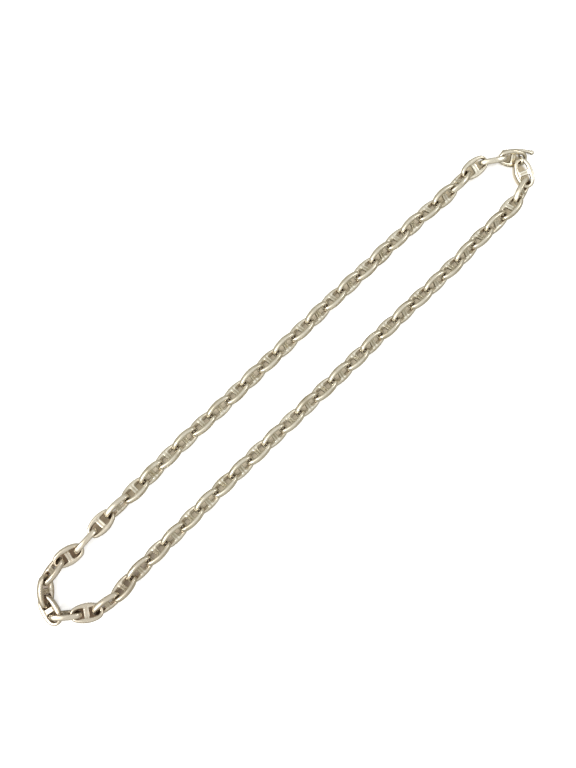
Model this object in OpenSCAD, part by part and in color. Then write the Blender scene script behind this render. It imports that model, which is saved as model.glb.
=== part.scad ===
// Mariner link necklace lying closed on a table, with a toggle clasp.
// The long axis of the loop is X with the clasp at the +X end, and the table is Z = 0.

/* [Necklace] */
// Length of the closed necklace, measured along its links
necklace_length = 610; // [450:10:800]
// Free play between the wires of two linked ends
link_play = 0.7; // [0.6:0.05:1]
// Roll of the links from flat, to the left and right in turn
link_roll = 45; // [42:1:48]

/* [Link] */
// Length of a link over its ends
link_length = 13.9; // [12:0.1:15]
// Width of a link over its rails
link_width = 8.2; // [7.4:0.1:9]
// Width of a rail beside the stud, seen from the front of a link
rail_width = 1.8; // [1.6:0.1:2]
// Depth of a rail beside the stud, seen from the edge of a link
rail_depth = 2.4; // [2:0.1:2.6]
// Thickness of the rounder wire at the ends of a link
tip_wire = 1.6; // [1.4:0.1:1.7]
// Radius of a link's end, along the middle of the wire
end_radius = 2.5; // [2.2:0.1:2.8]
// Diameter of the stud across the middle of a link
stud_diameter = 2; // [1.6:0.1:2.2]
// Length over which the stud flares into a rail
stud_flare = 0.5; // [0.3:0.1:0.8]

/* [Clasp] */
// Length of the toggle bar over its ends
toggle_length = 15.5; // [14:0.5:18]
// Diameter of the toggle bar
toggle_diameter = 1.6; // [1.3:0.1:2]
// Bow of the toggle bar at its middle
toggle_bow = 1.5; // [0.8:0.1:2]
// Diameter of the knob on each end of the toggle bar
knob_diameter = 2.2; // [2.1:0.1:2.6]
// Width of the collar beside each knob
collar_width = 0.5; // [0.3:0.1:0.7]
// Opening of the eye that joins the toggle bar to the holder link
eye_opening = 2.4; // [2.2:0.1:2.6]
// Wire of the eye
eye_wire = 0.9; // [0.8:0.1:1]
// From the middle of the toggle bar to the middle of the eye
eye_reach = 7.4; // [7.2:0.1:7.8]
// Diameter of the stem between the bar and the eye
stem_diameter = 1; // [0.8:0.1:1.1]

/* [Hidden] */
$fn = 48;

// The outline of a link is an oval of four arcs that meet smoothly
half_length = (link_length - tip_wire) / 2;
half_width = (link_width - rail_width) / 2;
end_x = half_length - end_radius;
side_radius = (end_x * end_x + half_width * half_width - end_radius * end_radius)
    / (2 * (half_width - end_radius));
side_y = side_radius - half_width;
side_angle = atan2(end_x, side_y);

// Spacing of the joints along the chain
pitch = link_length - 2 * tip_wire - link_play;

// Directions of the outline's sixteen corners: share of the end arc, share of the side arc, and the stud's edge
corner_on_end = 0.65;
corner_on_side = 0.4;
quarter_turns = [
    0,
    corner_on_end * (90 - side_angle),
    90 - (1 - corner_on_side) * side_angle,
    90 - asin(stud_diameter / 2 / side_radius)
];
turns = concat(
    quarter_turns, [90], [for (i = [3 : -1 : 1]) 180 - quarter_turns[i]],
    [for (t = quarter_turns) 180 + t], [270], [for (i = [3 : -1 : 1]) 360 - quarter_turns[i]]
);
// Six corners of the wire as shares of its half width and half depth, starting at the lower inner one
wire_corners = [[-1, -0.55], [0, -1], [1, -0.55], [1, 0.55], [0, 1], [-1, 0.55]];
corners = len(wire_corners);
// Half width and half depth of the wire where the outline faces the direction t
function wire_half(t) = let (share = abs(sin(t)))
    [tip_wire + (rail_width - tip_wire) * share, tip_wire + (rail_depth - tip_wire) * share] / 2;
ring = len(turns);

// Point on the middle of the wire where the outline faces the direction t
function rail_point(t) = abs(cos(t)) > sin(side_angle)
    ? [sign(cos(t)) * end_x + end_radius * cos(t), end_radius * sin(t)]
    : [side_radius * cos(t), side_radius * sin(t) - sign(sin(t)) * side_y];

stud_reach = half_width - rail_width / 2 - stud_flare;
link_points = concat(
    [for (t = turns) let (p = rail_point(t), w = wire_half(t)) for (c = wire_corners)
        [p.x + c.x * w.x * cos(t), p.y + c.x * w.x * sin(t), c.y * w.y]],
    [for (side = [1, -1], t = [330, 270, 210, 150, 90, 30])
        [stud_diameter / 2 * cos(t), side * stud_reach, stud_diameter / 2 * sin(t)]]
);

// Numbers of the six points where the stud meets the rail whose middle corner is m
function stud_foot(m, way) = [
    for (i = [-way, 0, way]) (m + i) * corners,
    for (i = [way, 0, -way]) (m + i) * corners + corners - 1
];
stud_loops = [
    stud_foot(4, 1),
    [for (i = [0 : 5]) ring * corners + i],
    [for (i = [0 : 5]) ring * corners + 6 + i],
    stud_foot(12, -1)
];
function quad(a, b, c, d) = [[a, b, c], [a, c, d]];
function under_stud(i, j) = j == corners - 1 && (i == 3 || i == 4 || i == 11 || i == 12);
link_faces = concat(
    [for (i = [0 : ring - 1], j = [0 : corners - 1]) if (!under_stud(i, j))
        let (k = (i + 1) % ring, l = (j + 1) % corners)
            each quad(i * corners + j, i * corners + l, k * corners + l, k * corners + j)],
    [for (s = [0 : 2], i = [0 : 5]) let (k = (i + 1) % 6)
        each quad(stud_loops[s][i], stud_loops[s][k], stud_loops[s + 1][k], stud_loops[s + 1][i])]
);

// Least height of a link's middle above the table at a roll
function lying_height(roll) = max([for (c = wire_corners)
    (half_width + c.x * rail_width / 2) * abs(sin(roll)) + c.y * rail_depth / 2 * abs(cos(roll))]);

// The route is laid out for a pitch of ten and grows with the pitch
unit = pitch / 10;

// Where the middle of the catch link lies, and the heading, rise and roll of the clasp's two links
catch_at = [143.25, 3.65, 3.6];
catch_turn = [-41.5, -9, 33];
holder_turn = [66.5, 4, -15];
toggle_heading = -43;
// From the middle of the catch link to the wire at the tip of the holder link, which lies inside it
tip_from_catch = [0.95, -2.87, 1.28];
// From that wire to the middle of the eye that hangs on it
eye_from_tip = [0.3, -0.43, 0.12];
// How far from taut the chain's first and last link lie in the clasp's two links, along them and to their left
catch_slack = [1.45, -0.14];
holder_slack = [1.34, -0.23];

// Chosen points of the chain's route, from the catch link along the upper side,
// round the left end and back along the lower side
route_points = [
    [130.3, 12.1], [122.5, 12.9], [110, 12.2], [94, 12.9], [75, 13.3], [56, 13.2], [38, 13.5],
    [20, 13.4], [2, 13.3], [-16, 13.3], [-32, 13.1], [-49, 13.5], [-66, 13.3], [-83, 12.7],
    [-96, 12.8], [-106, 12.4], [-116, 10.8], [-124.3, 12.8], [-133.9, 12.7], [-140.8, 5.5],
    [-144.7, 0.3], [-136.6, -7.5], [-129.5, -12.7], [-120, -14], [-111, -12.8], [-100, -12.5],
    [-84, -12.3], [-67, -11.9], [-50, -11.8], [-33, -11.8], [-15, -12], [2, -12.1], [20, -12.4],
    [38, -12.2], [56, -12.3], [74, -12.6], [93, -12.6], [107, -11.9], [119, -12.3], [130.8, -11.4]
];
// Half length of the straight part of the loop, which takes up a change of length
straight_half = 95;

// The middle of the whole necklace, in the coordinates of the places and points above
necklace_middle = [3.38, 0];

function stretched(p, extra) = unit * (p - necklace_middle)
    + [extra * max(-1, min(1, p.x / straight_half)), 0];

// Direction along a link with a heading and a rise
function along(turn) = [cos(turn[0]) * cos(turn[1]), sin(turn[0]) * cos(turn[1]), sin(turn[1])];
catch_middle = unit * (catch_at - [necklace_middle.x, necklace_middle.y, 0]);
holder_tip = catch_middle + unit * tip_from_catch;
holder_middle = holder_tip - half_length * along(holder_turn);
eye_middle = holder_tip + unit * eye_from_tip;

// Where the chain's end link lies inside a link of the clasp, in the plane of the table
function inside(middle, turn, slack) = [middle.x, middle.y]
    - (pitch / 2 - unit * slack.x) * [cos(turn[0]), sin(turn[0])]
    + unit * slack.y * [-sin(turn[0]), cos(turn[0])];
chain_start = inside(catch_middle, catch_turn, catch_slack);
chain_end = inside(holder_middle, holder_turn, holder_slack);

// Smooth curve through the route's points, by cubic pieces
function cut(v, i) = v[max(0, min(len(v) - 1, i))];
function slope(p, i) = (cut(p, i + 1) - cut(p, i - 1))
    / (norm(cut(p, i + 1) - cut(p, i)) + norm(cut(p, i) - cut(p, i - 1)));
steps = 10;
function smooth(p) = concat([for (i = [0 : len(p) - 2])
    let (d = norm(p[i + 1] - p[i]), m = slope(p, i) * d, n = slope(p, i + 1) * d)
    for (s = [0 : steps - 1]) let (t = s / steps)
        p[i] * (1 + 2 * t) * (1 - t) * (1 - t) + m * t * (1 - t) * (1 - t)
        + p[i + 1] * t * t * (3 - 2 * t) - n * t * t * (1 - t)
], [p[len(p) - 1]]);
function run_lengths(p) = [for (i = 0, s = 0; i < len(p);
    s = s + (i + 1 < len(p) ? norm(p[i + 1] - p[i]) : 0), i = i + 1) s];
function total(p) = let (s = run_lengths(p)) s[len(s) - 1];
function route(extra) = smooth(concat(
    [chain_start + [extra, 0]], [for (p = route_points) stretched(p, extra)], [chain_end + [extra, 0]]
));

// Links between the two of the clasp, as many on the upper side of the middle one as on the lower
side_links = round((necklace_length / pitch - 3) / 2);
plain_links = 2 * side_links + 1;
// Twist of the chain by the number of links from the clasp, and from the middle link at the left end
start_twists = [[0, 30], [1, 28], [2, 17], [3, 5], [4, 0]];
end_twists = [[0, 14], [2, 0]];
turn_twists = [
    [-9, 0], [-8, -3], [-7, -9], [-6, -17], [-5, -34], [-4, -48], [-2, -78], [-1, -93], [0, -110],
    [1, -125], [2, -147], [3, -168], [4, -178], [5, -180]
];
// An even number of links on a side needs a quarter turn more along its straight part
spare_turn = side_links % 2 == 0 ? 90 : 0;
spare_shares = [[0.25, 1], [0.75, 0]];
function roll_of(i) = (abs(i - side_links) % 2 == 0 ? -link_roll : link_roll)
    + lookup(i, start_twists) + lookup(plain_links - 1 - i, end_twists) + lookup(i - side_links, turn_twists)
    + spare_turn * (lookup(i / side_links, spare_shares) + lookup((plain_links - 1 - i) / side_links, spare_shares));

// How much shorter than taut the links lie near the clasp's two ends, and near the middle link
start_slacks = [[0, 0.1], [1, 0.2], [2, 0.2], [3, 0.1], [4, 0]];
end_slacks = [[0, 0.4], [2, 0]];
turn_slacks = [[-6, 0.05], [-5, 0.4], [-3, 0.6], [-1, 0.8], [0, 1.4], [1, 1.8], [2, 1], [3, 0.6], [4, 0.03]];
// From the middle of link i to its joint with link j: less for a flat link than for one on edge
function reach(i, j) = pitch / 2 - (tip_wire + link_play) / 4 * (cos(2 * roll_of(i)) - cos(2 * roll_of(j)));
spans = [for (i = [0 : plain_links - 1]) reach(i, i - 1) + reach(i, i + 1)
    - unit * (lookup(i, start_slacks) + lookup(plain_links - 1 - i, end_slacks)
        + lookup(i - side_links, turn_slacks))];
marks = [for (i = 0, s = 0; i <= plain_links; s = s + (i < plain_links ? spans[i] : 0), i = i + 1) s];

function fitted(extra, tries) = tries == 0 ? extra
    : fitted(extra + (marks[plain_links] - total(route(extra))) / 4, tries - 1);
extra = fitted(0, 5);
path = route(extra);
lengths = run_lengths(path);
path_x = [for (i = [0 : len(path) - 1]) [lengths[i], path[i].x]];
path_y = [for (i = [0 : len(path) - 1]) [lengths[i], path[i].y]];
ground = [for (m = marks) [lookup(m, path_x), lookup(m, path_y)]];

// At a bend one link's end rides up on the other: its step up at each joint
bend_step = 0.65 * tip_wire;
function heading(i) = let (d = cut(ground, i + 1) - ground[i]) atan2(d.y, d.x);
function step_at(i) = i < 1 || i >= plain_links ? 0
    : bend_step * sin(heading(i) - heading(i - 1)) * (sin(2 * roll_of(i - 1)) - sin(2 * roll_of(i))) / 2;
heights = [for (i = [0 : plain_links - 1])
    lying_height(roll_of(i)) + (abs(step_at(i)) + abs(step_at(i + 1))) / 4];
function joint(i, side) = [ground[i].x, ground[i].y,
    max(cut(heights, i - 1), cut(heights, i)) + side * step_at(i) / 2];

module wire_link() {
    polyhedron(link_points, link_faces);
}

// A link between two joints, moved along them by a shift
module link_between(a, b, roll, shift = 0) {
    d = b - a;
    translate((a + b) / 2 + shift * d / norm(d))
        rotate([roll, -atan2(d.z, norm([d.x, d.y])), atan2(d.y, d.x)]) wire_link();
}

module strand(first, last) {
    color([0.78, 0.75, 0.67])
        for (i = [first : last])
            link_between(joint(i, 1), joint(i + 1, -1), roll_of(i), (reach(i, i - 1) - reach(i, i + 1)) / 2);
}

module upper_strand() {
    strand(0, side_links);
}

module lower_strand() {
    strand(side_links + 1, plain_links - 1);
}

// A link of the clasp: where its middle is, and its heading, rise and roll
module link_at(middle, turn) {
    color([0.8, 0.77, 0.69])
        translate(middle + [extra, 0, 0]) rotate([turn[2], -turn[1], turn[0]]) wire_link();
}

module catch_link() {
    link_at(catch_middle, catch_turn);
}

module holder_link() {
    link_at(holder_middle, holder_turn);
}

// The bar is bowed away from the catch link, with its ends on a circle through its middle
bar_span = toggle_length - knob_diameter;
bow_radius = (bar_span * bar_span / 4 + toggle_bow * toggle_bow) / (2 * toggle_bow);
bow_half = asin(bar_span / 2 / bow_radius);
collar_back = 0.65 * knob_diameter;
collar_diameter = 0.9 * knob_diameter;
eye_radius = (eye_opening + eye_wire) / 2;
// The bar lies on the table and its stem rises to the eye
toggle_tilt = asin((eye_middle.z - toggle_diameter / 2) / eye_reach);

module toggle_knob() {
    sphere(d = knob_diameter);
    translate([0, -collar_back, 0]) rotate([90, 0, 0]) cylinder(d = collar_diameter, h = collar_width, center = true);
}

module toggle_bar() {
    color([0.76, 0.73, 0.65])
        translate(eye_middle + [extra, 0, 0]) rotate([-toggle_tilt, 0, toggle_heading])
            union() {
                rotate([0, 90, 0]) rotate_extrude() translate([eye_radius, 0]) circle(d = eye_wire);
                translate([0, eye_radius, 0]) rotate([-90, 0, 0])
                    cylinder(d = stem_diameter, h = eye_reach - eye_radius);
                translate([0, eye_reach - bow_radius, 0]) {
                    rotate([0, 0, 90 - bow_half]) rotate_extrude(angle = 2 * bow_half)
                        translate([bow_radius, 0]) circle(d = toggle_diameter);
                    rotate([0, 0, 90 + bow_half]) translate([bow_radius, 0, 0]) toggle_knob();
                    rotate([0, 0, 90 - bow_half]) translate([bow_radius, 0, 0]) rotate([180, 0, 0]) toggle_knob();
                }
            }
}

upper_strand();
lower_strand();
catch_link();
holder_link();
toggle_bar();
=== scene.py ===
"""Mariner link necklace closed with a toggle, lying on a pale table."""
import math

import bmesh
import bpy
import numpy as np
from mathutils import Matrix, Vector, noise


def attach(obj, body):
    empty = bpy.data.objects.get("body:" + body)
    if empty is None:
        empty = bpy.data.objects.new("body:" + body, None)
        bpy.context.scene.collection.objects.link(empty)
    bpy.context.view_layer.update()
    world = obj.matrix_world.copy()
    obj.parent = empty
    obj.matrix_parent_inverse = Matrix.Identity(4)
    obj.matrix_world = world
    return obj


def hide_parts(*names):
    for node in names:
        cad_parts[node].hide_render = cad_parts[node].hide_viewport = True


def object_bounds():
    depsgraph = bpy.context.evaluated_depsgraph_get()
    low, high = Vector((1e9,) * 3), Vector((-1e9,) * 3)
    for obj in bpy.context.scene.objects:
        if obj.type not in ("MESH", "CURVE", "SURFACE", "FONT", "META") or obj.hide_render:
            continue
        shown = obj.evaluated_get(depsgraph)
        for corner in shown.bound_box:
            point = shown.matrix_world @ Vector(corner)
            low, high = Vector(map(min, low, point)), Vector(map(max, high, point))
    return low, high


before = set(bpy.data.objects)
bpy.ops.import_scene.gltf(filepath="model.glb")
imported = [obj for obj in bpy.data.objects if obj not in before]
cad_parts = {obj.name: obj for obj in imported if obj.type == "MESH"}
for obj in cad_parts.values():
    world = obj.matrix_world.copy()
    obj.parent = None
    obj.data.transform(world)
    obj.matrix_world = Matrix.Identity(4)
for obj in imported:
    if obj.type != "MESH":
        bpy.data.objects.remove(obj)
cad_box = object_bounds()
MM = 0.001

# Camera: what it looks at, how far away, its lean from straight down and its roll
AIM_MM = (-7.8, 0.4, 3.3)
CAMERA_DISTANCE_MM = 462.5
CAMERA_LEAN = 9.0
CAMERA_HEADING = -1.63
CAMERA_ROLL = 42.2
LENS_MM = 50
SENSOR_MM = 36
CLIP_START = 0.01

# Link, with its length, width and depth measured from the frame
TIP_WIRE_MM = 1.54
RAIL_WIDTH_MM = 1.7
END_RADIUS_MM = 2.5
STUD_DIAMETER_MM = 2.0
STUD_WIDTH_MM = 2.6
STUD_FLARE_MM = 0.5
GROOVE_DEPTH_MM = 0.5
GROOVE_SHARPNESS = 5
# How much a rail is fuller towards the stud, and over which half length of the link
RAIL_SWELL_MM = 0.5
SWELL_REACH_MM = 3.1
END_STEPS = 10
SIDE_STEPS = 8
WIRE_CORNERS = 10
TIP_SQUARENESS = 2.1
RAIL_SQUARENESS = 3.2
CORNER_MERGE_MM = 0.02
CAST_WAVE_MM = 0.03
CAST_WAVE_SIZE_MM = 2.5
# Step from link to link through the noise, so that no two links have the same waves
CAST_WAVE_SHIFT = 7.3

# What counts as the stud and as its groove, how much tarnish and painted shade the groove gets, and how
# much worn shine and painted highlight the stud's rubbed top gets
STUD_REACH_MM = 1.4
RAIL_INSET_MM = 0.7
GROOVE_HALF_MM = 0.2
GROOVE_TARNISH_AND_SHADE = 1.3
RUBBED_SHEEN = -0.8

# Toggle
BAR_RADIUS_MM = 0.8
BAR_WAIST_MM = 0.66
BAR_STEPS = 12
KNOB_RADIUS_MM = 1.1
KNOB_NECK_MM = 0.62
KNOB_ANGLES = (6, 25, 45, 65, 90, 115, 138)
COLLAR_RADIUS_MM = 0.99
COLLAR_EDGE_MM = 0.891
COLLAR_BACK_MM = 1.43
COLLAR_WIDTH_MM = 0.5
COLLAR_GAP_MM = 0.2
BOW_MM = 1.5
STEM_RADIUS_MM = 0.5
EYE_RADIUS_MM = 1.65
EYE_WIRE_RADIUS_MM = 0.45
EYE_STEPS = 36
EYE_WIRE_CORNERS = 14
TUBE_CORNERS = 16
SOLDER_VOXEL_MM = 0.1
# The stem flares where it is soldered: share of its way from the bar to the eye, and of its radius
STEM_FLARE = (
    (0.0, 1.5), (0.12, 1.4), (0.2, 1.1), (0.35, 1.0), (0.7, 1.0), (0.85, 1.1), (0.95, 1.36), (1.0, 1.2),
)

# Silver
SILVER_PALE = (0.757, 0.706, 0.583, 1)
SILVER_WARM = (0.57, 0.508, 0.378, 1)
# Worn silver on the studs' tops, made brighter as a painted highlight
SILVER_RUBBED_SHEEN = (0.95, 0.92, 0.80, 1)
SILVER_BEND = (0.655, 0.576, 0.47, 1)
# Tarnish and oxide colours, laid into the crevices together with painted shade
TARNISH_AND_SHADE = (0.38, 0.255, 0.16, 1)
OXIDE_AND_DEEP_SHADE = (0.066, 0.038, 0.017, 1)
# How far the ambient occlusion reaches that paints shade into the crevices
CREVICE_SHADE_MM = 1.7
CLOUD_MM = 6.0
SPECK_MM = 0.9
SCRATCH_MM = 0.25
SCRATCH_STRETCH = (0.25, 1.0, 1.0)
DENT_MM = 1.6
RELIEF_MM = 0.12
# Where the browner metal begins and is full, towards the bend away from the clasp
BEND_START_MM = 70
BEND_FULL_MM = 130

# Table, its glow to the camera, and the fine part of its grid, which holds the painted shadow under the
# links
FLOOR_PALE = (0.86, 0.86, 0.85, 1)
# Painted shadow under the links, browner towards the bend
FLOOR_SHADE = (0.51, 0.435, 0.31, 1)
FLOOR_SHADE_AT_BEND = (0.24, 0.165, 0.115, 1)
FLOOR_REFLECTED = (0.36, 0.345, 0.30, 1)
GLOW_OPEN = (0.45, 0.45, 0.45, 1)
# The glow is less in the painted shadow under the links, least at the bend
GLOW_IN_PAINTED_SHADOW = (0.155, 0.132, 0.092, 1)
GLOW_IN_PAINTED_SHADOW_AT_BEND = (0.03, 0.02, 0.01, 1)
NO_GLOW = (0, 0, 0, 1)
GRAIN_MM = 0.8
GRAIN_RELIEF_MM = 0.05
TABLE_REACH_MM = 1500
GRID_LENGTH_MM = 320
GRID_WIDTH_MM = 48
GRID_STEP_MM = 0.8
# How fast the painted shadow under a link begins at its outline, and its strength by how flat the link
# lies
SHADE_SOFTNESS = 3
SHADE_BY_FLATNESS = 1.3

# Light tent: its colours, the side that its panel is on, and where each part begins and is full
TENT_TOP = (0.88, 0.88, 0.86, 1)
TENT_RIM = (0.70, 0.685, 0.64, 1)
TENT_LAMP = (2.0, 1.98, 1.92, 1)
TENT_DARK = (0.44, 0.42, 0.38, 1)
BACKDROP = (1, 1, 1, 1)
LAMP_SIDE = (-0.65, 0.38, 0.66)
RIM_TO_TOP = (0.0, 0.7)
LAMP_EDGE = (0.72, 0.9)
DARK_EDGE = (0.0, 0.6)
LIGHT_SIZE = 0.3


def placed(name, data):
    """A new object in the scene."""
    made = bpy.data.objects.new(name, data)
    bpy.context.scene.collection.objects.link(made)
    return made


# Camera

def add_camera():
    lean, heading, roll = (math.radians(a) for a in (CAMERA_LEAN, CAMERA_HEADING, CAMERA_ROLL))
    forward = Vector((
        math.cos(heading) * math.sin(lean), math.sin(heading) * math.sin(lean), -math.cos(lean),
    ))
    level = Vector((-math.sin(heading), math.cos(heading), 0))
    rising = forward.cross(level)
    up = rising * math.sin(roll) + level * math.cos(roll)
    right = rising * math.cos(roll) - level * math.sin(roll)
    data = bpy.data.cameras.new("camera")
    data.lens = LENS_MM
    data.sensor_width = SENSOR_MM
    data.clip_start = CLIP_START
    camera = placed("camera", data)
    turn = Matrix((right, up, -forward)).transposed().to_4x4()
    place = Vector(AIM_MM) * MM - forward * CAMERA_DISTANCE_MM * MM
    camera.matrix_world = Matrix.Translation(place) @ turn
    bpy.context.scene.camera = camera


# Shader maths

class Sock:
    """A shader socket that takes part in Python expressions."""

    def __init__(self, tree, socket):
        self.tree = tree
        self.socket = socket

    def maths(self, operation, *values):
        return self.tree.node("ShaderNodeMath", {"operation": operation}, dict(enumerate(values)))

    def __add__(self, other):
        return self.maths("ADD", self, other)

    __radd__ = __add__

    def __mul__(self, other):
        return self.maths("MULTIPLY", self, other)

    __rmul__ = __mul__

    def __sub__(self, other):
        return self.maths("SUBTRACT", self, other)

    def __rsub__(self, other):
        return self.maths("SUBTRACT", other, self)


class Shader:
    """Builds the nodes of a material or of the world."""

    def __init__(self, owner):
        owner.use_nodes = True
        self.owner = owner
        self.nodes = owner.node_tree.nodes
        self.links = owner.node_tree.links
        self.nodes.clear()

    def node(self, kind, settings=None, inputs=None, output=0):
        """One of a new node's outputs. Its inputs are given by name or by number, as values or sockets."""
        made = self.nodes.new(kind)
        for name, value in (settings or {}).items():
            setattr(made, name, value)
        for name, value in (inputs or {}).items():
            if isinstance(value, Sock):
                self.links.new(value.socket, made.inputs[name])
            else:
                made.inputs[name].default_value = value
        return Sock(self, made.outputs[output]) if made.outputs else None

    def place(self):
        """Where a point lies, in the object's own metres."""
        return self.node("ShaderNodeTexCoord", output=3)

    def attribute(self, name):
        return self.node("ShaderNodeAttribute", {"attribute_name": name}, output=2)

    def seen_directly(self):
        """1 for what the camera sees straight, 0 for what is reflected or lit."""
        return self.node("ShaderNodeLightPath", output=0)

    def mix(self, factor, a, b):
        """Color a where the factor is 0, color b where it is 1."""
        return self.node("ShaderNodeMix", {"data_type": "RGBA"}, {0: factor, 6: a, 7: b}, 2)

    def span(self, value, low, high):
        """0 at low and below, 1 at high and above, smooth between."""
        smooth = {"interpolation_type": "SMOOTHSTEP"}
        return self.node("ShaderNodeMapRange", smooth, {0: value, 1: low, 2: high})

    def noise(self, place, size_mm, detail=2.0, stretch=None):
        if stretch:
            place = self.node("ShaderNodeMapping", {}, {0: place, 3: stretch})
        return self.node("ShaderNodeTexNoise", {}, {0: place, 2: 1 / (size_mm * MM), 3: detail})

    def bump(self, height, strength, relief_mm):
        """Normals of a surface that rises by the relief where the height is 1."""
        inputs = {"Strength": strength, "Distance": relief_mm * MM, "Height": height}
        return self.node("ShaderNodeBump", {}, inputs)

    def finish(self, surface, output="ShaderNodeOutputMaterial"):
        self.node(output, {}, {0: surface})
        return self.owner


def toward_bend(s):
    """1 at the loop's bend away from the clasp, where the metal is browner, 0 along its sides."""
    x = s.node("ShaderNodeSeparateXYZ", {}, {0: s.place()}, 0)
    return s.span(0 - x, BEND_START_MM * MM, BEND_FULL_MM * MM)


def silver():
    """Old silver: pale and worn on top, warm in patches, brown to black in the recesses from tarnish and
    painted shade, with a painted highlight on the studs' rubbed tops.
    """
    s = Shader(bpy.data.materials.new("old_silver"))
    place = s.place()
    # Painted shade with tarnish inside the links, below 0 for the painted highlight on the studs' tops
    tarnish_shade_and_sheen = s.attribute("tarnish_shade_and_sheen")
    # Ambient occlusion, used as painted shade in the crevices between and inside the links
    closed = 1 - s.node("ShaderNodeAmbientOcclusion", {"samples": 8}, {1: CREVICE_SHADE_MM * MM}, 1)
    cloud = s.noise(place, CLOUD_MM, 3.0)
    speck = s.noise(place, SPECK_MM, 4.0)
    bend = toward_bend(s)
    # Tarnish with painted shade: crevices, the insides of the windows and the stud's groove and flanks,
    # more towards the bend
    tarnish_and_shade_mask = s.span(closed + tarnish_shade_and_sheen * 0.4 + (speck - 0.5) * 0.3 + bend * 0.12, 0.42, 0.95)
    warmth = s.span(cloud + tarnish_shade_and_sheen * 0.22 + (speck - 0.5) * 0.2 + bend * 0.1, 0.48, 0.8)
    color = s.mix(warmth, SILVER_PALE, SILVER_WARM)
    # Worn silver with a painted highlight on the studs' tops
    color = s.mix(s.span(0 - tarnish_shade_and_sheen, 0.1, 0.7), color, SILVER_RUBBED_SHEEN)
    color = s.mix(bend * 0.7, color, SILVER_BEND)
    # Brown tarnish, then near-black oxide in the deepest crevices, both carrying painted shade
    color = s.mix(s.span(tarnish_and_shade_mask, 0.05, 0.6), color, TARNISH_AND_SHADE)
    color = s.mix(s.span(tarnish_and_shade_mask, 0.5, 1.0), color, OXIDE_AND_DEEP_SHADE)
    rough = 0.17 + 0.14 * s.span(speck, 0.35, 0.7) + 0.25 * tarnish_and_shade_mask
    scratch = s.noise(place, SCRATCH_MM, stretch=SCRATCH_STRETCH)
    dents = s.noise(place, DENT_MM)
    return s.finish(s.node("ShaderNodeBsdfPrincipled", {}, {
        "Base Color": color,
        "Roughness": rough,
        "Metallic": 1 - 0.35 * tarnish_and_shade_mask,
        "Normal": s.bump(dents * 0.7 + scratch * 0.12 + speck * 0.25, 0.35, RELIEF_MM),
    }))


def table():
    """Pale lit table top that glows to the camera, with a painted shadow right under the necklace, browner
    towards the bend, and darker in what the metal reflects of it.
    """
    s = Shader(bpy.data.materials.new("pale_table"))
    under = s.attribute("under")
    direct = s.seen_directly()
    bend = toward_bend(s)
    # Painted shadow under the links, where the glow to the camera is also less
    shade = s.mix(bend, FLOOR_SHADE, FLOOR_SHADE_AT_BEND)
    color = s.mix(direct, FLOOR_REFLECTED, s.mix(under, FLOOR_PALE, shade))
    painted_shadow_glow = s.mix(bend, GLOW_IN_PAINTED_SHADOW, GLOW_IN_PAINTED_SHADOW_AT_BEND)
    glow = s.mix(direct, NO_GLOW, s.mix(under, GLOW_OPEN, painted_shadow_glow))
    return s.finish(s.node("ShaderNodeBsdfPrincipled", {}, {
        "Base Color": color,
        "Roughness": 0.9,
        "Normal": s.bump(s.noise(s.place(), GRAIN_MM, 3.0), 0.05, GRAIN_RELIEF_MM),
        "Specular IOR Level": 0.1,
        "Emission Color": glow,
        "Emission Strength": 1.0,
    }))


# Meshes

def bridge(work, a, b, skip=()):
    """Faces between two closed rows of corners, apart from those to skip."""
    for k in range(len(a)):
        if k not in skip:
            m = (k + 1) % len(a)
            work.faces.new((a[k], a[m], b[m], b[k]))


def modified(work, name, *modifiers):
    """The mesh of a bmesh with modifiers applied, each given as its type and its settings."""
    bmesh.ops.recalc_face_normals(work, faces=work.faces)
    mesh = bpy.data.meshes.new(name)
    work.to_mesh(mesh)
    work.free()
    carrier = placed("carrier", mesh)
    for kind, settings in modifiers:
        modifier = carrier.modifiers.new(kind.lower(), kind)
        for setting, value in settings.items():
            setattr(modifier, setting, value)
    bpy.context.view_layer.update()
    depsgraph = bpy.context.evaluated_depsgraph_get()
    made = bpy.data.meshes.new_from_object(carrier.evaluated_get(depsgraph))
    bpy.data.objects.remove(carrier)
    return made


def piece(name, mesh, node):
    """Puts a finished mesh in the scene in place of a CAD node."""
    mesh.polygons.foreach_set("use_smooth", [True] * len(mesh.polygons))
    mesh.materials.append(MATERIALS["silver"])
    made = placed(name, mesh)
    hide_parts(node)
    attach(made, "root")


# Links

def islands(node):
    """The corners of each separate solid of a CAD node, in millimetres."""
    work = bmesh.new()
    work.from_mesh(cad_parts[node].data)
    bmesh.ops.remove_doubles(work, verts=work.verts, dist=CORNER_MERGE_MM * MM)
    left = set(work.verts)
    found = []
    while left:
        reached = [left.pop()]
        for corner in reached:
            for edge in corner.link_edges:
                other = edge.other_vert(corner)
                if other in left:
                    left.remove(other)
                    reached.append(other)
        found.append(np.array([v.co for v in reached]) / MM)
    work.free()
    return sorted(found, key=lambda corners: tuple(corners.mean(0)))


def pose_of(corners):
    """Where a link lies: its middle, its axes along, across and through, and the sizes along them."""
    middle = corners.mean(0)
    _, axes = np.linalg.eigh(np.cov((corners - middle).T))
    along, through = axes[:, 2], axes[:, 0]
    along = along * np.sign(along[0])
    through = through * np.sign(through[2])
    turn = np.column_stack([along, np.cross(through, along), through])
    size = np.ptp((corners - middle) @ turn, axis=0)
    return middle, turn, size


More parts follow.
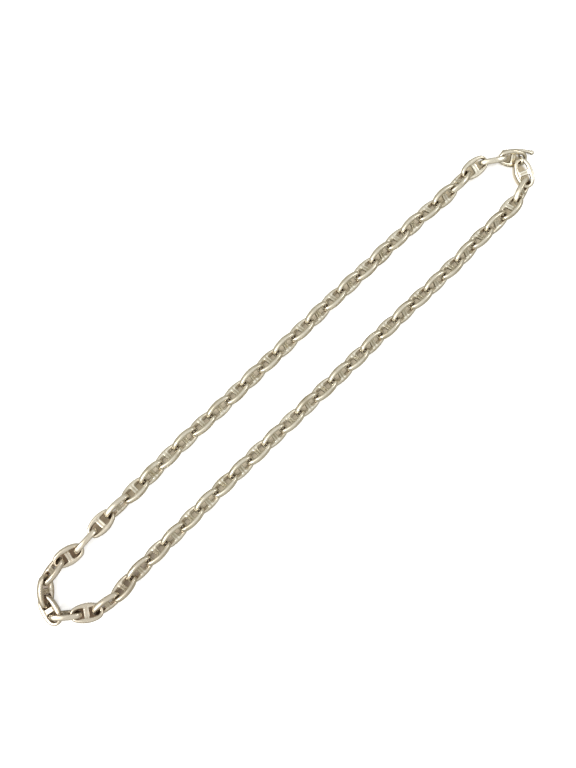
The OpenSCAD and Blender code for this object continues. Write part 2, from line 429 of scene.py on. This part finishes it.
class LinkShape:
    """The sizes of a link and the oval that the middle of its wire follows."""

    def __init__(self, size):
        length, width, self.rail_depth = size
        self.half_length = (length - TIP_WIRE_MM) / 2
        self.half_width = (width - RAIL_WIDTH_MM) / 2
        self.end_x = self.half_length - END_RADIUS_MM
        gap = self.half_width - END_RADIUS_MM
        rise = self.end_x ** 2 + self.half_width ** 2 - END_RADIUS_MM ** 2
        self.side_radius = rise / (2 * gap)
        self.side_y = self.side_radius - self.half_width
        self.side_angle = math.atan2(self.end_x, self.side_y)

    def rail_point(self, t):
        """The oval's point where it faces in the direction t."""
        c, s = math.cos(t), math.sin(t)
        if abs(c) > math.sin(self.side_angle):
            return math.copysign(self.end_x, c) + END_RADIUS_MM * c, END_RADIUS_MM * s
        return self.side_radius * c, self.side_radius * s - math.copysign(self.side_y, s)

    def wire_half(self, t):
        """Half width, half depth and squareness of the wire: round at the tips, squarer at the rails."""
        share = abs(math.sin(t))
        wide = TIP_WIRE_MM + (RAIL_WIDTH_MM - TIP_WIRE_MM) * share
        deep = TIP_WIRE_MM + (self.rail_depth - TIP_WIRE_MM) * share
        return wide / 2, deep / 2, TIP_SQUARENESS + (RAIL_SQUARENESS - TIP_SQUARENESS) * share

    def turns(self):
        """Directions that the oval faces at its stations, starting at the middle of an end."""
        end = math.pi / 2 - self.side_angle
        quarter = [end * i / (END_STEPS / 2) for i in range(END_STEPS // 2)]
        quarter += [end + self.side_angle * i / (SIDE_STEPS / 2) for i in range(SIDE_STEPS // 2)]
        half = quarter + [math.pi / 2] + [math.pi - t for t in reversed(quarter[1:])]
        return half + [math.pi + t for t in half]


def rounded(angle, squareness):
    """Point of a rounded square of half size 1."""
    c, s = math.cos(angle), math.sin(angle)
    power = 2 / squareness
    return math.copysign(abs(c) ** power, c), math.copysign(abs(s) ** power, s)


def link_mesh(shape):
    """One link in millimetres: a swept oval of wire with a grooved stud grown out of both rails."""
    turns = shape.turns()
    ring = len(turns)
    step = 2 * math.pi / WIRE_CORNERS
    # A smoothed cage of this many corners shrinks, so it starts larger
    grow = 6 / (4 + 2 * math.cos(step))
    work = bmesh.new()
    rows = []
    for t in turns:
        x, y = shape.rail_point(t)
        wide, deep, squareness = shape.wire_half(t)
        row = []
        for k in range(WIRE_CORNERS):
            out, rise = rounded((k + 0.5) * step, squareness)
            reach = out * wide * grow
            if out < 0:
                reach += out * RAIL_SWELL_MM * max(0, 1 - (x / SWELL_REACH_MM) ** 2)
            corner = (x + reach * math.cos(t), y + reach * math.sin(t), rise * deep * grow)
            row.append(work.verts.new(corner))
        rows.append(row)
    # The stud leaves each rail through three inner faces beside its middle station
    inner = range(WIRE_CORNERS // 2 - 2, WIRE_CORNERS // 2 + 1)
    feet = (ring // 4, 3 * ring // 4)
    open_rows = {(foot - back) % ring for foot in feet for back in (0, 1)}
    for i in range(ring):
        bridge(work, rows[i], rows[(i + 1) % ring], inner if i in open_rows else ())

    def foot_loop(foot, way):
        low, high = inner[0], inner[-1] + 1
        near, mid, far = (rows[(foot + s * way) % ring] for s in (-1, 0, 1))
        return (
            [near[low], mid[low], far[low]] + [far[k] for k in range(low + 1, high)]
            + [far[high], mid[high], near[high]] + [near[k] for k in range(high - 1, low, -1)]
        )

    first, last = foot_loop(feet[0], -1), foot_loop(feet[1], 1)
    reach = shape.half_width - RAIL_WIDTH_MM / 2
    wide = STUD_WIDTH_MM / 2 * grow
    loops = [first]
    for y in (reach - STUD_FLARE_MM, reach / 2, 0, -reach / 2, STUD_FLARE_MM - reach):
        loop = []
        for corner in first:
            angle = math.atan2(corner.co.z, corner.co.x)
            groove = max(0, 1 - GROOVE_SHARPNESS * (1 - abs(math.sin(angle))))
            rise = STUD_DIAMETER_MM / 2 * grow - GROOVE_DEPTH_MM * groove
            loop.append(work.verts.new((wide * math.cos(angle), y, rise * math.sin(angle))))
        loops.append(loop)
    loops.append(last)
    for a, b in zip(loops, loops[1:]):
        bridge(work, a, b)
    return modified(work, "link_cage", ("SUBSURF", {"levels": 1, "render_levels": 1}))


def tarnish_shade_and_sheen_of(points, normals, shape):
    """Painted shade with tarnish by how much each point of a link faces into it: 1 inside its windows, 0
    on its outside; more in the stud's groove and on its flanks, and below 0 on the stud's top for worn
    shine and a painted highlight.
    """
    out = points[:, :2] / (np.array([shape.half_length, shape.half_width]) ** 2)
    out /= np.maximum(np.linalg.norm(out, axis=1, keepdims=True), 1e-6)
    inward = np.maximum(-(out * normals[:, :2]).sum(1), 0)
    x, y = abs(points[:, 0]), abs(points[:, 1])
    on_stud = (x < STUD_REACH_MM) & (y < shape.half_width - RAIL_INSET_MM)
    # The stud's flanks get painted shade as far as they face along the link
    side = abs(normals[:, 0]) * 1.4 - 0.6
    top = np.where(x < GROOVE_HALF_MM, GROOVE_TARNISH_AND_SHADE, RUBBED_SHEEN * abs(normals[:, 2]))
    inward = np.where(on_stud, np.maximum(side, top), inward)
    return np.clip(inward, RUBBED_SHEEN, GROOVE_TARNISH_AND_SHADE)


def build_links(piece_name, node):
    """One object with a detailed link at the place of each link of a CAD node."""
    poses = [pose_of(corners) for corners in islands(node)]
    shape = LinkShape(np.mean([size for _, _, size in poses], axis=0))
    pattern = link_mesh(shape)
    points = np.array([v.co for v in pattern.vertices])
    normals = np.array([v.normal for v in pattern.vertices])
    faces = np.array([p.vertices[:] for p in pattern.polygons])
    tarnish_shade_and_sheen = tarnish_shade_and_sheen_of(points, normals, shape)
    all_points, all_faces = [], []
    for number, (middle, turn, _) in enumerate(poses):
        shift = Vector((CAST_WAVE_SHIFT * number, 0, 0))
        waves = np.array([noise.noise(Vector(p) / CAST_WAVE_SIZE_MM + shift) for p in points])
        cast = points + normals * waves[:, None] * CAST_WAVE_MM
        all_points.append((cast @ turn.T + middle) * MM)
        all_faces.append(faces + number * len(points))
    mesh = bpy.data.meshes.new(piece_name)
    mesh.from_pydata(np.vstack(all_points).tolist(), [], np.vstack(all_faces).tolist())
    # Painted shade with tarnish, and the painted highlight on the studs' tops, for the silver
    attribute = mesh.attributes.new("tarnish_shade_and_sheen", "FLOAT", "POINT")
    attribute.data.foreach_set("value", np.tile(tarnish_shade_and_sheen, len(poses)).astype(np.float32))
    piece(piece_name, mesh, node)


# Toggle

def tube(work, centres, radii):
    """A closed round tube through the centres, which lie in the plane of X and Y."""
    rows = []
    last = len(centres) - 1
    for i, (centre, radius) in enumerate(zip(centres, radii)):
        way = (centres[min(i + 1, last)] - centres[max(i - 1, 0)]).normalized()
        side = Vector((-way.y, way.x, 0))
        row = []
        for k in range(TUBE_CORNERS):
            a = 2 * math.pi * k / TUBE_CORNERS
            out = side * math.cos(a) + Vector((0, 0, 1)) * math.sin(a)
            row.append(work.verts.new(centre + radius * out))
        rows.append(row)
    for a, b in zip(rows, rows[1:]):
        bridge(work, a, b)
    work.faces.new(rows[0])
    work.faces.new(rows[-1][::-1])


def toggle_pose():
    """The middle of the toggle's bar, its axes along, away from the eye and across, and its reaches."""
    corners = np.array([v.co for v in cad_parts["toggle_bar"].data.vertices]) / MM
    one = corners[np.argmax(np.linalg.norm(corners - corners.mean(0), axis=1))]
    two = corners[np.argmax(np.linalg.norm(corners - one, axis=1))]
    length = float(np.linalg.norm(two - one))
    along = (two - one) / length
    chord = (one + two) / 2
    off = (corners - chord) - np.outer((corners - chord) @ along, along)
    away = off[np.argmax(np.linalg.norm(off, axis=1))]
    eye_reach = float(np.linalg.norm(away))
    away = -away / eye_reach
    return chord, np.column_stack([along, away, np.cross(along, away)]), length, eye_reach


def knob_profile():
    """Distance along the bar from a knob's middle and radius there, from the tip inwards."""
    turns = [math.radians(a) for a in KNOB_ANGLES]
    tip = [(-KNOB_RADIUS_MM * math.cos(a), KNOB_RADIUS_MM * math.sin(a)) for a in turns]
    # Shares of the collar's width on both sides of its middle
    collar = (
        (-0.62, KNOB_NECK_MM), (-0.45, COLLAR_EDGE_MM), (-0.2, COLLAR_RADIUS_MM),
        (0.2, COLLAR_RADIUS_MM), (0.45, COLLAR_EDGE_MM), (0.62, BAR_WAIST_MM),
    )
    return tip + [(COLLAR_BACK_MM + COLLAR_WIDTH_MM * share, radius) for share, radius in collar]


def add_bar(work, length):
    """The bowed bar with a knob and a collar at each end."""
    half = length / 2 - KNOB_RADIUS_MM
    bow_radius = (half ** 2 + BOW_MM ** 2) / (2 * BOW_MM)
    arc_half = bow_radius * math.asin(half / bow_radius)

    def on_bow(s):
        a = s / bow_radius
        return Vector((bow_radius * math.sin(a), bow_radius * math.cos(a) - bow_radius + BOW_MM, 0))

    knob = knob_profile()
    body_half = arc_half - knob[-1][0] - COLLAR_GAP_MM
    profile = [(s - arc_half, r) for s, r in knob]
    for i in range(BAR_STEPS + 1):
        share = 2 * i / BAR_STEPS - 1
        thinning = (BAR_RADIUS_MM - BAR_WAIST_MM) * abs(share) ** 3
        profile.append((body_half * share, BAR_RADIUS_MM - thinning))
    profile += [(arc_half - s, r) for s, r in reversed(knob)]
    tube(work, [on_bow(s) for s, _ in profile], [r for _, r in profile])


def add_stem(work, eye_y):
    """The stem from the middle of the bar to the eye."""
    drop = eye_y + EYE_RADIUS_MM - BOW_MM
    centres = [Vector((0, BOW_MM + drop * share, 0)) for share, _ in STEM_FLARE]
    tube(work, centres, [radius * STEM_RADIUS_MM for _, radius in STEM_FLARE])


def add_eye(work, eye_y):
    """The eye, a ring of round wire that the holder link hangs in, square to the bar."""
    rows = []
    for i in range(EYE_STEPS):
        a = 2 * math.pi * i / EYE_STEPS
        row = []
        for k in range(EYE_WIRE_CORNERS):
            b = 2 * math.pi * k / EYE_WIRE_CORNERS
            x = EYE_WIRE_RADIUS_MM * math.sin(b)
            r = EYE_RADIUS_MM + EYE_WIRE_RADIUS_MM * math.cos(b)
            row.append(work.verts.new((x, eye_y + r * math.cos(a), r * math.sin(a))))
        rows.append(row)
    for i in range(EYE_STEPS):
        bridge(work, rows[(i + 1) % EYE_STEPS], rows[i])


def build_toggle():
    """Bar, stem and eye, soldered together."""
    chord, turn, length, eye_reach = toggle_pose()
    eye_y = EYE_RADIUS_MM + EYE_WIRE_RADIUS_MM - eye_reach
    work = bmesh.new()
    add_bar(work, length)
    add_stem(work, eye_y)
    add_eye(work, eye_y)
    mesh = modified(
        work, "toggle_cage",
        ("REMESH", {"mode": "VOXEL", "voxel_size": SOLDER_VOXEL_MM}),
        ("SMOOTH", {"factor": 0.5, "iterations": 3}),
    )
    turn = Matrix(turn.tolist()).to_4x4()
    mesh.transform(Matrix.Translation(Vector(chord) * MM) @ turn @ Matrix.Scale(MM, 4))
    piece("toggle", mesh, "toggle_bar")


# Stage and light

def grid_line(length):
    """Places of the table's grid lines: fine over a length in the middle, then one at each edge."""
    fine = np.linspace(-length / 2, length / 2, round(length / GRID_STEP_MM) + 1)
    return np.concatenate([[-TABLE_REACH_MM], fine, [TABLE_REACH_MM]])


def add_table():
    """The table top, with an attribute that says how far it lies inside the outline of a link, which sets
    the painted shadow there.
    """
    x, y = grid_line(GRID_LENGTH_MM), grid_line(GRID_WIDTH_MM)
    points = np.stack(np.meshgrid(x, y, indexing="ij"), axis=-1).reshape(-1, 2)
    under = np.zeros(len(points))
    for node in ("upper_strand", "lower_strand", "catch_link", "holder_link"):
        for corners in islands(node):
            middle, turn, size = pose_of(corners)
            flat = np.linalg.norm(turn[:2, 1])
            half_length, half_width = size[0] / 2, size[1] / 2 * flat
            off = points - middle[:2]
            reach = (off @ turn[:2, 0] / half_length) ** 2 + (off @ turn[:2, 1] / flat / half_width) ** 2
            # The painted shadow fills the link's outline, weaker for a link that stands on edge
            inside = np.clip((1 - reach) * SHADE_SOFTNESS, 0, 1)
            under = np.maximum(under, inside * min(1, flat * SHADE_BY_FLATNESS))
    low = (np.arange(len(x) - 1)[:, None] * len(y) + np.arange(len(y) - 1)).ravel()
    faces = np.column_stack([low, low + len(y), low + len(y) + 1, low + 1])
    places = np.column_stack([points * MM, np.zeros(len(points))])
    mesh = bpy.data.meshes.new("table_top")
    mesh.from_pydata(places.tolist(), [], faces.tolist())
    attribute = mesh.attributes.new("under", "FLOAT", "POINT")
    attribute.data.foreach_set("value", under.astype(np.float32))
    mesh.materials.append(table())
    floor = placed("table_top", mesh)
    floor.location.z = cad_box[0].z


def add_light(name, place, power):
    """A soft square light that faces the middle of the necklace."""
    data = bpy.data.lights.new(name, "AREA")
    data.size = LIGHT_SIZE
    data.energy = power
    light = placed(name, data)
    light.location = place
    light.rotation_mode = "QUATERNION"
    light.rotation_quaternion = (-Vector(place)).to_track_quat("-Z", "Y")


def add_world():
    """White light tent: a lit panel on one side, a dark side opposite it and a darker rim low down.

    Seen past the table it is a plain white backdrop.
    """
    s = Shader(bpy.data.worlds.new("light_tent"))
    way = s.node("ShaderNodeTexCoord", output=0)
    height = s.node("ShaderNodeSeparateXYZ", {}, {0: way}, 2)
    aim = s.node("ShaderNodeVectorMath", {"operation": "DOT_PRODUCT"}, {0: way, 1: LAMP_SIDE}, 1)
    color = s.mix(s.span(height, *RIM_TO_TOP), TENT_RIM, TENT_TOP)
    color = s.mix(s.span(aim, *LAMP_EDGE), color, TENT_LAMP)
    color = s.mix(s.span(0 - aim, *DARK_EDGE), color, TENT_DARK)
    color = s.mix(s.seen_directly(), color, BACKDROP)
    light = s.node("ShaderNodeBackground", {}, {"Color": color, "Strength": 1.0})
    bpy.context.scene.world = s.finish(light, "ShaderNodeOutputWorld")


add_camera()
MATERIALS = {"silver": silver()}
build_links("upper_links", "upper_strand")
build_links("lower_links", "lower_strand")
build_links("catch_link_cast", "catch_link")
build_links("holder_link_cast", "holder_link")
build_toggle()
add_table()
add_world()
add_light("key", place=(-0.6, 0.35, 0.62), power=3.4)
add_light("fill", place=(0.6, -0.3, 0.6), power=1)
bpy.context.scene.view_settings.view_transform = "Standard"
